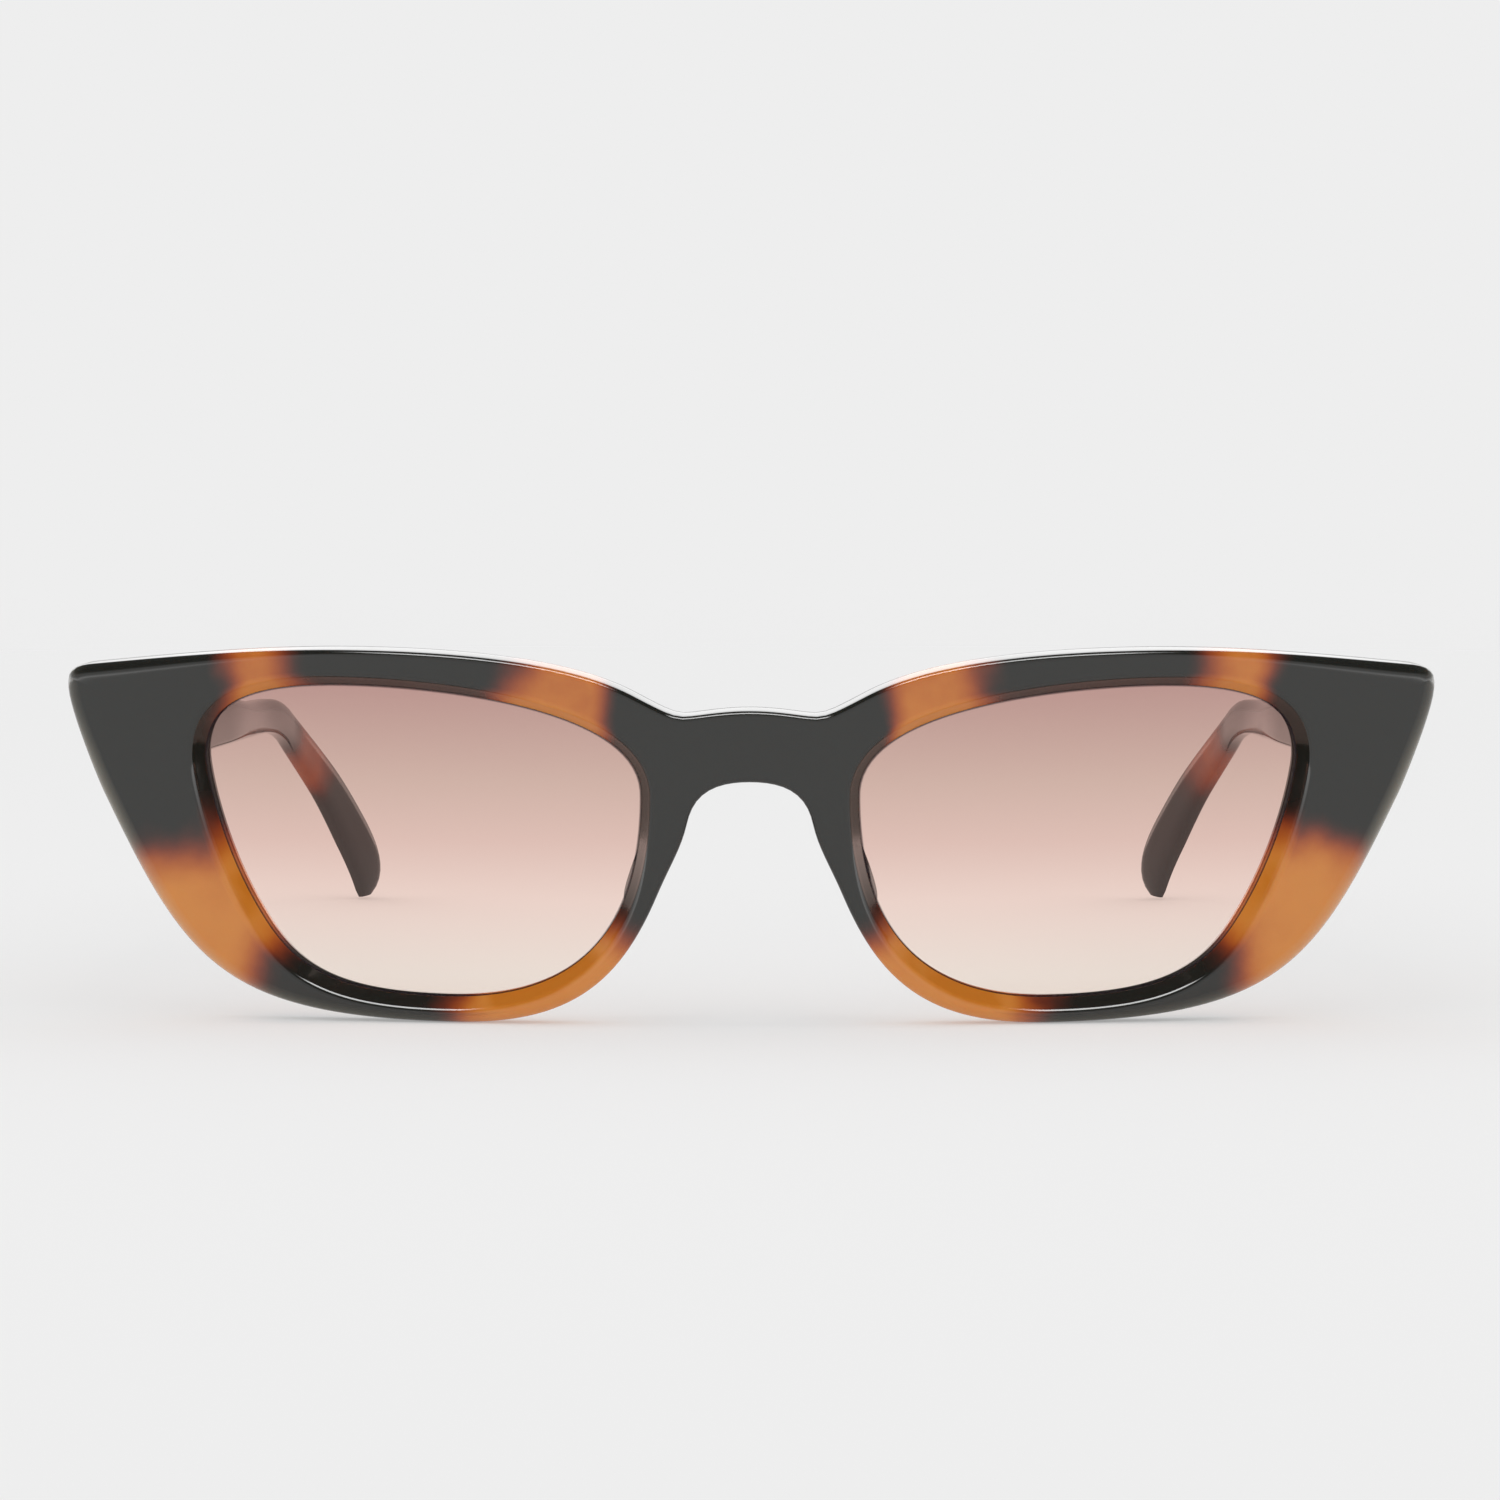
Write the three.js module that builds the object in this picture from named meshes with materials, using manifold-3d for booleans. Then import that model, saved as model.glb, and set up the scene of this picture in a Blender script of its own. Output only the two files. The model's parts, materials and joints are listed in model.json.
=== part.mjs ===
// Cat eye sunglasses with two tinted lenses and folding temples.
//
// Millimetres, +Z up, the front faces -Y. The sunglasses stand open on the two rim bottoms and
// the two temple tips. Left and right are the wearer's, so left is +X.
//
// The front, its lenses and its nose pads are drawn as a flat plate (u across, n behind the front
// face, z up), and the plate is then bent round a vertical axis to the face-form radius.

import * as THREE from 'three';
import Module from 'manifold-3d';
import { mergeVertices, toCreasedNormals } from 'three/addons/utils/BufferGeometryUtils.js';
import { TessellateModifier } from 'three/addons/modifiers/TessellateModifier.js';

const wasm = await Module();
wasm.setup();

// ---------------------------------------------------------------- driving dimensions
const LEAN = THREE.MathUtils.degToRad(5);   // how far the front leans forward as it stands
const STANCE = [0, -72.64, -0.21];          // moves the leaning front so that the box is centred
const FACE_RADIUS = 240;                    // face-form radius of the front face
const FRONT_THICKNESS = 4.2;
const FRONT_EDGE = 0.45;                    // chamfer round the outside of the front
const GAP = 0.3;                            // clearance between pieces that touch
const FACET = { outline: 2.6, opening: 2.8, bend: 9, sweep: 12 };   // lengths of the flat facets

const LENS_DEPTH = 1.9;                     // lens face behind the front face
const LENS_THICKNESS = 1.4;
const LENS_TUCK = 0.9;                      // how far the lens reaches into its groove
const RIM_BEVEL = 1.2;                      // width of the sloping band round each lens

const PAD = { thickness: 2.0, depth: 6.6, height: 12.5, splay: 15, tilt: 22, edge: 0.5, root: 1.5 };
const PAD_ROOT = [8.6, 4.75, 16.6];         // middle of the pad's root on the back of the rim

const PIN = [61.1, 16.8, 28.2];             // middle of the left hinge pin, in the front's frame
const BOSS = { inner: 58.6, outer: 67.4, back: 15.0, halfHeight: 4.7, corner: 1.2 };

const BARREL = { count: 5, height: 1.1, radius: 1.5, bore: 0.9 };
const SCREW = { radius: 0.6, headRadius: 1.3, headHeight: 0.7, slotWidth: 0.35, slotDepth: 0.35 };
const LEAF = { front: [2.8, 1.2, 7.2], temple: [1.4, 8.8, 4.6] };   // x, y, z sizes of the plates
const PEG = { radius: 0.9, length: 2.0 };   // anchors the front leaf in the end piece
const ARM = { halfWidth: 1.0, overlap: 0.5 };

const TEMPLE = {
  thickness: 4.4,
  inner: 1.9,                               // inner face outboard of the pin, at the hinge
  start: -1.5,                              // front end, measured back from the pin
  halfHeights: [3.9, 2.0, 2.4],             // at the hinge, before the ear and at the tip
  splay: 0.083,                             // inward run for each millimetre of length
  thinFrom: 50,                             // the inner face moves outward from here
  thinTo: 95,                               // to here, where the temple is at its thinnest
  thinned: 0.5,                             // share of the thickness that is left there
  curlStart: 109,                           // where the tip starts to curl inward
  curlRadius: 29.4,
  edge: 0.5,
};
const CORE_WIRE = { radius: 0.6, from: 12, to: 66, drop: 0.118 };

// Half of the front's outline, from the middle of the bridge's top edge round to the middle of
// its arch. Each row is a cubic curve: two handles and the end point, as u and z.
const OUTLINE_START = [0, 33.0];
const OUTLINE = [
  [3.2, 33.0, 5.7, 32.4, 6.9, 32.4],        // bridge top to the notch
  [8.0, 32.4, 9.1, 33.0, 12.2, 34.6],       // notch to the brow
  [18.3, 37.7, 28.5, 38.8, 40.0, 38.8],     // brow to its peak
  [50.8, 38.8, 60.0, 37.6, 70.3, 36.3],     // peak to the upswept tip
  [72.2, 36.0, 72.8, 35.6, 72.8, 33.8],     // round the tip
  [72.8, 31.8, 70.0, 24.7, 69.1, 22.9],     // outer flank
  [59.9, 4.7, 55.8, 0.0, 31.0, 0.0],        // under the cheek to the lowest point
  [18.9, 0.0, 13.6, 4.2, 9.6, 13.7],        // up to the nose flank
  [8.2, 17.0, 7.1, 18.6, 6.5, 21.2],        // nose flank
  [5.9, 24.0, 4.2, 25.6, 0.0, 25.6],        // arch of the bridge
];

// The left lens opening as the wearer's left eye sees through it, round from its highest point.
const OPENING_START = [41.9, 35.0];
const OPENING = [
  [52.2, 35.0, 57.7, 33.1, 57.7, 27.0],
  [57.7, 25.8, 56.3, 17.2, 51.0, 9.5],
  [47.5, 4.5, 42.8, 2.5, 31.5, 2.5],
  [18.9, 2.5, 11.3, 8.8, 11.3, 24.0],
  [11.3, 33.2, 32.4, 35.0, 41.9, 35.0],
];

// ---------------------------------------------------------------- materials
const TORTOISE = { color: 0x6b3a1c, roughness: 0.15, metalness: 0 };
const TINT = { color: 0xd9b3a8, roughness: 0.05, metalness: 0 };
const STEEL = { color: 0xb9bcc0, roughness: 0.3, metalness: 1 };

// ---------------------------------------------------------------- helpers
function curvePoints(start, rows, spacing) {
  const points = [new THREE.Vector2(...start)];
  for (const [ax, ay, bx, by, x, y] of rows) {
    const curve = new THREE.CubicBezierCurve(
      points.at(-1), new THREE.Vector2(ax, ay), new THREE.Vector2(bx, by), new THREE.Vector2(x, y));
    const steps = Math.max(4, Math.round(curve.getLength() / spacing));
    points.push(...curve.getPoints(steps).slice(1));
  }
  return points;
}

// Moves a closed outline outward by a distance, along the normal at each point.
function grown(points, distance) {
  const sign = THREE.ShapeUtils.isClockWise(points) ? 1 : -1;
  return points.map((point, i) => {
    const before = points.at(i - 1);
    const after = points[(i + 1) % points.length];
    const along = after.clone().sub(before).normalize();
    return new THREE.Vector2(-along.y, along.x).multiplyScalar(sign * distance).add(point);
  });
}

// A plate of the given outline (u, z) that fills the depth from front to back, still flat.
function slab(points, front, back, bevel = {}) {
  const settings = { bevelEnabled: false, ...bevel, depth: back - front - 2 * (bevel.bevelThickness ?? 0) };
  const plate = new THREE.ExtrudeGeometry(new THREE.Shape(points), settings);
  plate.rotateX(Math.PI / 2);
  return plate.translate(0, back - (bevel.bevelThickness ?? 0), 0);
}

function block(low, high) {
  const size = high.map((value, i) => value - low[i]);
  return new THREE.BoxGeometry(...size).translate(...high.map((value, i) => (value + low[i]) / 2));
}

function upright(radius, height, middle = [0, 0, 0]) {
  return new THREE.CylinderGeometry(radius, radius, height, 20)
    .rotateX(Math.PI / 2).translate(...middle);
}

function positionsOnly(geometry) {
  const plain = geometry.clone();
  plain.deleteAttribute('normal');
  plain.deleteAttribute('uv');
  return mergeVertices(plain, 1e-4);
}

function solid(geometry) {
  const plain = positionsOnly(geometry);
  return new wasm.Manifold(new wasm.Mesh({
    numProp: 3,
    vertProperties: new Float32Array(plain.attributes.position.array),
    triVerts: new Uint32Array(plain.index.array),
  }));
}

function surface(manifold) {
  const mesh = manifold.getMesh();
  const geometry = new THREE.BufferGeometry();
  geometry.setAttribute('position', new THREE.BufferAttribute(new Float32Array(mesh.vertProperties), 3));
  geometry.setIndex(new THREE.BufferAttribute(new Uint32Array(mesh.triVerts), 1));
  return geometry;
}

function moved(geometry, change) {
  const position = geometry.attributes.position;
  const point = new THREE.Vector3();
  for (let i = 0; i < position.count; i += 1) {
    point.fromBufferAttribute(position, i);
    change(point);
    position.setXYZ(i, point.x, point.y, point.z);
  }
  return geometry;
}

// Splits long edges, so that a flat solid can follow a curve, and moves its points.
function curved(manifold, edge, change) {
  const fine = new TessellateModifier(edge, 8).modify(surface(manifold).toNonIndexed());
  return moved(positionsOnly(fine), change);
}

// Bends the flat plate round the vertical axis behind it.
function bend(point) {
  const angle = point.x / FACE_RADIUS;
  const radius = FACE_RADIUS - point.y;
  point.x = radius * Math.sin(angle);
  point.y = FACE_RADIUS - radius * Math.cos(angle);
}

function mirrored(geometry) {
  const copy = positionsOnly(geometry);
  copy.scale(-1, 1, 1);
  const order = copy.index.array;
  for (let i = 0; i < order.length; i += 3) {
    [order[i], order[i + 1]] = [order[i + 1], order[i]];
  }
  return copy;
}

function node(name, geometry, look) {
  const mesh = new THREE.Mesh(toCreasedNormals(geometry, 0.5), new THREE.MeshStandardMaterial(look));
  mesh.name = name;
  return mesh;
}

const bothSides = (geometry) => ({ left: geometry, right: mirrored(geometry) });
const mirrorOutline = (points) => points.map((point) => new THREE.Vector2(-point.x, point.y)).reverse();
const shifted = (geometry, [x, y, z]) => geometry.clone().translate(x, y, z);

// ---------------------------------------------------------------- front
const opening = curvePoints(OPENING_START, OPENING, FACET.opening).slice(0, -1);

function frontOutline() {
  const half = curvePoints(OUTLINE_START, OUTLINE, FACET.outline);
  return [...half, ...mirrorOutline(half).slice(1, -1)];
}

// What is cut away for one lens: the way through, the groove, and the bevel in front of it.
function lensCuts(points) {
  const through = solid(slab(points, -1, FRONT_THICKNESS + 1));
  const groove = solid(slab(
    grown(points, LENS_TUCK + GAP), LENS_DEPTH - GAP, LENS_DEPTH + LENS_THICKNESS + GAP));
  const bevel = solid(slab(points, -LENS_DEPTH, LENS_DEPTH, {
    bevelEnabled: true, bevelSegments: 1, bevelSize: RIM_BEVEL, bevelThickness: LENS_DEPTH - 0.01,
  }));
  return through.add(groove).add(bevel);
}

// The thickened end piece that the temple butts against, with the hinge let into its back.
function endPiece() {
  const { inner, outer, back, halfHeight, corner } = BOSS;
  const low = PIN[2] - halfHeight;
  const high = PIN[2] + halfHeight;
  const shape = new THREE.Shape()
    .moveTo(inner + corner, low)
    .lineTo(outer - corner, low)
    .quadraticCurveTo(outer, low, outer, low + corner)
    .lineTo(outer, high - corner)
    .quadraticCurveTo(outer, high, outer - corner, high)
    .lineTo(inner + corner, high)
    .quadraticCurveTo(inner, high, inner, high - corner)
    .lineTo(inner, low + corner)
    .quadraticCurveTo(inner, low, inner + corner, low);
  const depth = FRONT_THICKNESS;
  return new THREE.ExtrudeGeometry(shape, { depth, bevelEnabled: false, curveSegments: 3 })
    .rotateX(Math.PI / 2).translate(0, back, 0);
}

function hingeRecess() {
  const [width, depth, height] = LEAF.front;
  const back = BOSS.back - PIN[1];
  const pocket = solid(block(
    [-width / 2 - GAP, back - depth - GAP, -height / 2 - GAP],
    [width / 2 + GAP, back + 1, height / 2 + GAP]));
  const hole = new THREE.CylinderGeometry(PEG.radius + GAP, PEG.radius + GAP, PEG.length + GAP, 12)
    .translate(0, back - depth - (PEG.length + GAP) / 2, 0);
  return surface(pocket.add(solid(hole)));
}

function frontGeometry() {
  const plate = solid(slab(frontOutline(), 0, FRONT_THICKNESS, {
    bevelEnabled: true, bevelSegments: 1, bevelSize: FRONT_EDGE, bevelThickness: FRONT_EDGE,
    bevelOffset: -FRONT_EDGE,
  }));
  const rims = plate.subtract(lensCuts(opening)).subtract(lensCuts(mirrorOutline(opening)));
  let front = solid(curved(rims, FACET.bend, bend));
  const bosses = bothSides(endPiece());
  const recesses = bothSides(shifted(hingeRecess(), PIN));
  for (const side of ['left', 'right']) {
    front = front.add(solid(bosses[side])).subtract(solid(recesses[side]));
  }
  return surface(front);
}

function lensGeometry() {
  const flat = solid(slab(grown(opening, LENS_TUCK), LENS_DEPTH, LENS_DEPTH + LENS_THICKNESS));
  return curved(flat, FACET.bend, bend);
}

// A pad glued behind the nose side of the rim: it opens backward and follows the nose flank.
function padGeometry() {
  const { thickness, depth, height, splay, tilt, edge, root } = PAD;
  const half = height / 2;
  const shape = new THREE.Shape()
    .moveTo(-root, half - root)
    .lineTo(-root, root - half)
    .quadraticCurveTo(-root / 2, -half, root, -half)
    .bezierCurveTo(depth - root, -half, depth, 2 * root - half, depth, 0)
    .bezierCurveTo(depth, half - 2 * root, depth - root, half, root, half)
    .quadraticCurveTo(-root / 2, half, -root, half - root);
  const pad = new THREE.ExtrudeGeometry(shape, {
    depth: thickness - 2 * edge, curveSegments: 6, bevelEnabled: true, bevelSegments: 1,
    bevelSize: edge, bevelThickness: edge, bevelOffset: -edge,
  });
  pad.applyMatrix4(new THREE.Matrix4().makeBasis(
    new THREE.Vector3(0, 1, 0), new THREE.Vector3(0, 0, 1), new THREE.Vector3(1, 0, 0)));
  pad.translate(edge, 0, 0);
  pad.rotateZ(-THREE.MathUtils.degToRad(splay)).rotateY(-THREE.MathUtils.degToRad(tilt));
  const behind = solid(shifted(pad, PAD_ROOT));
  return surface(behind.subtract(solid(block([-5, 0, 0], [25, PAD_ROOT[1], 40]))));
}

// ---------------------------------------------------------------- hinges, about the pin
const barrelPitch = BARREL.height + GAP;
const barrelTop = ((BARREL.count - 1) * barrelPitch + BARREL.height) / 2;

// The barrels with the given numbers, each with an arm that joins it to its plate.
function barrels(numbers, armLow, armHigh) {
  const rings = numbers.map((number) => {
    const middle = (number - (BARREL.count - 1) / 2) * barrelPitch;
    const [low, high] = [middle - BARREL.height / 2, middle + BARREL.height / 2];
    const ring = solid(upright(BARREL.radius, BARREL.height, [0, 0, middle]));
    return ring.add(solid(block([...armLow, low], [...armHigh, high])));
  });
  return rings.reduce((all, ring) => all.add(ring));
}

const bore = solid(upright(BARREL.bore, 2 * barrelTop + 2));

function frontHingeGeometry() {
  const [width, depth, height] = LEAF.front;
  const back = BOSS.back - PIN[1];
  const plate = solid(block([-width / 2, back - depth, -height / 2], [width / 2, back, height / 2]));
  const peg = new THREE.CylinderGeometry(PEG.radius, PEG.radius, PEG.length, 12)
    .translate(0, back - depth - PEG.length / 2 + GAP, 0);
  const arms = barrels([0, 2, 4], [-ARM.halfWidth, back - ARM.overlap], [ARM.halfWidth, 0]);
  return surface(arms.subtract(bore).add(plate).add(solid(peg)));
}

const TEMPLE_LEAF_START = 1.9;
const TEMPLE_LEAF_PROUD = 0.5;
const TEMPLE_LEAF_MIDDLE = -0.3;

// The plate let into the temple's inner face, which follows the temple's splay.
function templeLeafBlock(clearance) {
  const [width, length, height] = LEAF.temple;
  const inner = TEMPLE.inner - TEMPLE_LEAF_PROUD;
  const middle = TEMPLE_LEAF_MIDDLE;
  const plate = block(
    [inner - clearance, TEMPLE_LEAF_START - clearance, middle - height / 2 - clearance],
    [inner + width + clearance, TEMPLE_LEAF_START + length + clearance, middle + height / 2 + clearance]);
  return solid(moved(plate, sweepInward));
}

function templeHingeGeometry() {
  const arms = barrels([1, 3], [0, 0], [TEMPLE.inner - GAP, TEMPLE_LEAF_START + ARM.overlap]);
  return surface(arms.subtract(bore).add(templeLeafBlock(0)));
}

function screwGeometry() {
  const { radius, headRadius, headHeight, slotWidth, slotDepth } = SCREW;
  const seat = barrelTop + GAP;
  const top = seat + headHeight;
  const profile = [
    [0, -seat], [radius - 0.2, -seat], [radius, -seat + 0.2], [radius, seat],
    [headRadius, seat], [headRadius, top - 0.2], [headRadius - 0.2, top], [0, top],
  ].map(([x, y]) => new THREE.Vector2(x, y));
  const turned = solid(new THREE.LatheGeometry(profile, 20).rotateX(Math.PI / 2));
  const slot = block([-2, -slotWidth / 2, top - slotDepth], [2, slotWidth / 2, top + 1]);
  return surface(turned.subtract(solid(slot)));
}

// ---------------------------------------------------------------- temples, about the pin
// Middle line of a temple in side view, as y behind the pin and z above it.
const TEMPLE_LINE = [[-5, 0.4], [30, -3.7], [75, -10.1], [102, -14.1], [112.6, -18.0], [121.2, -24.7],
  [126.8, -32.6], [129.0, -37.4], [129.4, -40.5]];

// Half the temple's height at each part of its length: deep at the hinge, slim before the ear,
// fuller at the tip.
function halfHeight(part) {
  const [hinge, ear, tip] = TEMPLE.halfHeights;
  const smooth = THREE.MathUtils.smoothstep;
  const body = hinge + (ear - hinge) * smooth(part, 0.02, 0.62) + (tip - ear) * smooth(part, 0.7, 0.95);
  const rounding = Math.max(0, (part - 0.965) / 0.035);
  return body * Math.sqrt(1 - 0.8 * rounding * rounding);
}

function templeSide() {
  const line = new THREE.CatmullRomCurve3(
    TEMPLE_LINE.map(([y, z]) => new THREE.Vector3(y, z, 0)), false, 'centripetal');
  const steps = 44;
  const top = [];
  const bottom = [];
  for (let i = 0; i <= steps; i += 1) {
    const part = i / steps;
    const middle = line.getPointAt(part);
    const along = line.getTangentAt(part);
    const across = new THREE.Vector2(-along.y, along.x).multiplyScalar(halfHeight(part));
    top.push(new THREE.Vector2(middle.x, middle.y).add(across));
    bottom.unshift(new THREE.Vector2(middle.x, middle.y).sub(across));
  }
  return new THREE.Shape([...top, ...bottom]);
}

// Thins the temple toward its ear end, leans it inward along its length, and curls its tip inward.
function sweepInward(point) {
  const { inner, thickness, start, splay, thinFrom, thinTo, thinned, curlStart, curlRadius } = TEMPLE;
  const outer = inner + thickness;
  const thin = 1 - (1 - thinned) * THREE.MathUtils.smoothstep(point.y, thinFrom, thinTo);
  const curl = Math.max(0, point.y - curlStart);
  point.x = outer - (outer - point.x) * thin - splay * (point.y - start) - curl * curl / (2 * curlRadius);
}

// The straight wire down the middle of the temple, or the bore that it lies in.
function wire(radius, from, to) {
  const middle = (y) => {
    const point = new THREE.Vector3(
      TEMPLE.inner + TEMPLE.thickness / 2, y, TEMPLE_LEAF_MIDDLE - CORE_WIRE.drop * y);
    sweepInward(point);
    return point;
  };
  const path = new THREE.LineCurve3(middle(from), middle(to));
  const circle = new THREE.Shape().absarc(0, 0, radius, 0, 2 * Math.PI);
  return new THREE.ExtrudeGeometry(circle, { steps: 1, curveSegments: 10, extrudePath: path });
}

function templeGeometry() {
  const { thickness, inner, start, edge } = TEMPLE;
  const side = new THREE.ExtrudeGeometry(templeSide(), {
    depth: thickness - 2 * edge, bevelEnabled: true, bevelSegments: 1,
    bevelSize: edge, bevelThickness: edge, bevelOffset: -edge,
  });
  side.applyMatrix4(new THREE.Matrix4().makeBasis(
    new THREE.Vector3(0, 1, 0), new THREE.Vector3(0, 0, 1), new THREE.Vector3(1, 0, 0)));
  side.translate(inner + edge, 0, 0);
  const whole = solid(curved(solid(side), FACET.sweep, sweepInward));
  const ahead = solid(block([-10, -20, -20], [20, start, 20]));
  const channel = solid(wire(CORE_WIRE.radius + GAP, start - 1, CORE_WIRE.to + GAP));
  return surface(whole.subtract(ahead).subtract(templeLeafBlock(GAP)).subtract(channel));
}

// ---------------------------------------------------------------- assembly
const stand = new THREE.Group();
stand.rotation.x = LEAN;
stand.position.set(...STANCE);

stand.add(node('frame_front', frontGeometry(), TORTOISE));

const onFront = {
  lens: [bothSides(lensGeometry()), TINT],
  nose_pad: [bothSides(padGeometry()), TORTOISE],
};
for (const [name, [geometry, look]] of Object.entries(onFront)) {
  for (const side of ['left', 'right']) {
    stand.add(node(`${name}_${side}`, geometry[side], look));
  }
}

const atPin = {
  front_hinge: [bothSides(frontHingeGeometry()), STEEL],
  hinge_screw: [bothSides(screwGeometry()), STEEL],
  temple_hinge: [bothSides(templeHingeGeometry()), STEEL],
  temple: [bothSides(templeGeometry()), TORTOISE],
  core_wire: [bothSides(wire(CORE_WIRE.radius, CORE_WIRE.from, CORE_WIRE.to)), STEEL],
};
for (const [side, sign] of [['left', 1], ['right', -1]]) {
  const pin = new THREE.Group();
  pin.position.set(sign * PIN[0], PIN[1], PIN[2]);
  for (const [name, [geometry, look]] of Object.entries(atPin)) {
    pin.add(node(`${name}_${side}`, geometry[side], look));
  }
  stand.add(pin);
}

const group = new THREE.Group();
group.add(stand);
export default group;
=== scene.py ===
"""Cat eye sunglasses in tortoise acetate with gradient lenses, on a pale floor in soft studio light.

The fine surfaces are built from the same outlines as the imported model, in the same frame: +Z up,
the front faces -Y, left is the wearer's left (+X). The glasses' lengths are in millimetres up to the
last step of each shape, where MM turns them into metres. The stage's lengths are in metres.
"""

import json
import math

import bpy
import bmesh
from mathutils import Matrix, Vector


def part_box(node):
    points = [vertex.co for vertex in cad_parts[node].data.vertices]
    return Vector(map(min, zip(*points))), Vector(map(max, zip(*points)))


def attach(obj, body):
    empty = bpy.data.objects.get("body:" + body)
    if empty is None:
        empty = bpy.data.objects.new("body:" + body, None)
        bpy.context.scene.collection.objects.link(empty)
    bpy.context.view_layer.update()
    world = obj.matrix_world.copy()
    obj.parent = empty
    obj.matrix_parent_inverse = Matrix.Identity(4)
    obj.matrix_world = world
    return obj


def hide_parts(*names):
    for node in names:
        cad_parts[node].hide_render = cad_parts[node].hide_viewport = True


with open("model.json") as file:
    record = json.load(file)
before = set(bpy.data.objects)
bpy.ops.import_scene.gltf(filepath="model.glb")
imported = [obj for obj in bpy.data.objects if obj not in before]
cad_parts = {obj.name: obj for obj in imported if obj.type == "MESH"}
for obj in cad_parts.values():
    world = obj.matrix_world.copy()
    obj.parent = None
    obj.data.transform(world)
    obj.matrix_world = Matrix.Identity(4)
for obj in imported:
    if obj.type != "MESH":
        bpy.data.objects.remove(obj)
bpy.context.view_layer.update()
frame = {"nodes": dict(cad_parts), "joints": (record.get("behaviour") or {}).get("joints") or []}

MM = 0.001

# ------------------------------------------------------------------ driving dimensions
FACE_RADIUS = 240.0        # face-form radius of the front face
FRONT_THICKNESS = 4.2
LENS_DEPTH = 1.9           # lens face behind the front face
LENS_THICKNESS = 1.4
LENS_TUCK = 0.9            # how far the lens reaches into its groove
LENS_DOME = 0.5            # how far the middle of the lens stands forward of its edge
RIM_BEVEL = 1.2            # width of the sloping band round each lens
PIN = Vector((61.1, 16.8, 28.2))

# Half of the front's outline, as cubic curves: two handles and the end point, as u and z.
OUTLINE_START = (0, 33.0)
OUTLINE = [
    (3.2, 33.0, 5.7, 32.4, 6.9, 32.4),
    (8.0, 32.4, 9.1, 33.0, 12.2, 34.6),
    (18.3, 37.7, 28.5, 38.8, 40.0, 38.8),
    (50.8, 38.8, 60.0, 37.6, 70.3, 36.3),
    (72.2, 36.0, 72.8, 35.6, 72.8, 33.8),
    (72.8, 31.8, 70.0, 24.7, 69.1, 22.9),
    (59.9, 4.7, 55.8, 0.0, 31.0, 0.0),
    (18.9, 0.0, 13.6, 4.2, 9.6, 13.7),
    (8.2, 17.0, 7.1, 18.6, 6.5, 21.2),
    (5.9, 24.0, 4.2, 25.6, 0.0, 25.6),
]
# Radius of the polished outer edge, at the start of the outline and at the end of each curve.
EDGE_RADIUS = [0.5, 0.5, 0.5, 0.5, 1.3, 1.9, 2.2, 1.1, 0.6, 0.5, 0.5]
# How far that edge is painted pale, as painted light coming through it, at the same points.
PAINTED_EDGE_GLOW = [0, 0, 0, 0, 0, 0.4, 1, 0.25, 0, 0, 0]
# The point of the lens opening that faces the start of the outline and the end of each curve.
FACING = [(12.6, 27.6), (14.0, 29.0), (16.5, 30.8), (40.0, 35.0), (56.0, 31.9), (57.1, 30.0),
          (56.6, 21.7), (31.0, 2.5), (12.4, 15.5), (11.35, 21.8), (11.5, 25.0)]

OPENING_START = (41.9, 35.0)
OPENING = [
    (52.2, 35.0, 57.7, 33.1, 57.7, 27.0),
    (57.7, 25.8, 56.3, 17.2, 51.0, 9.5),
    (47.5, 4.5, 42.8, 2.5, 31.5, 2.5),
    (18.9, 2.5, 11.3, 8.8, 11.3, 24.0),
    (11.3, 33.2, 32.4, 35.0, 41.9, 35.0),
]

# ------------------------------------------------------------------ placing
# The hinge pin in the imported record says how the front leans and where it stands.
hinge = {joint["child"]: joint for joint in frame["joints"]}["temple_left"]
lean = math.atan2(-hinge["axis"][1], hinge["axis"][2])
STAND = (Matrix.Translation(hinge["pos_m"]) @ Matrix.Rotation(lean, 4, "X")
         @ Matrix.Translation(-PIN * MM))


def from_front(x, y, z):
    """A point in the front's own frame, in millimetres, as a point in the row frame in metres."""
    return STAND @ Vector((x * MM, y * MM, z * MM))


def bent(u, depth, z):
    """A point of the flat plate (u across, depth behind its face) after the plate is bent."""
    angle = u / FACE_RADIUS
    radius = FACE_RADIUS - depth
    return from_front(radius * math.sin(angle), FACE_RADIUS - radius * math.cos(angle), z)


# ------------------------------------------------------------------ curves
def cubic(start, row, t):
    """A point of the cubic curve from start, with its handles and end point given in the row."""
    ax, ay, bx, by, x, y = row
    s = 1 - t
    return Vector((
        s ** 3 * start[0] + 3 * s * s * t * ax + 3 * s * t * t * bx + t ** 3 * x,
        s ** 3 * start[1] + 3 * s * s * t * ay + 3 * s * t * t * by + t ** 3 * y))


def polyline(start, row, fine=200):
    return [cubic(start, row, i / fine) for i in range(fine + 1)]


def along(points, distances):
    """The points at the given distances along a polyline, counted from its first point."""
    found = []
    walked = 0.0
    i = 0
    step = (points[1] - points[0]).length
    for distance in distances:
        while distance > walked + step and i < len(points) - 2:
            walked += step
            i += 1
            step = (points[i + 1] - points[i]).length
        found.append(points[i].lerp(points[i + 1], min(1.0, (distance - walked) / max(step, 1e-9))))
    return found


def length_of(points):
    return sum((b - a).length for a, b in zip(points, points[1:]))


FEWEST_COLUMNS = 6         # on one curve of the outline


def even(start, row, spacing):
    """Evenly spaced points along one curve, without its last point."""
    points = polyline(start, row)
    total = length_of(points)
    count = max(FEWEST_COLUMNS, round(total / spacing))
    return along(points, [total * i / count for i in range(count)])


def smoothstep(value, low, high):
    t = min(1.0, max(0.0, (value - low) / (high - low)))
    return t * t * (3 - 2 * t)


NEARBY = 0.2               # how far to either side a curve's direction is measured

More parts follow.
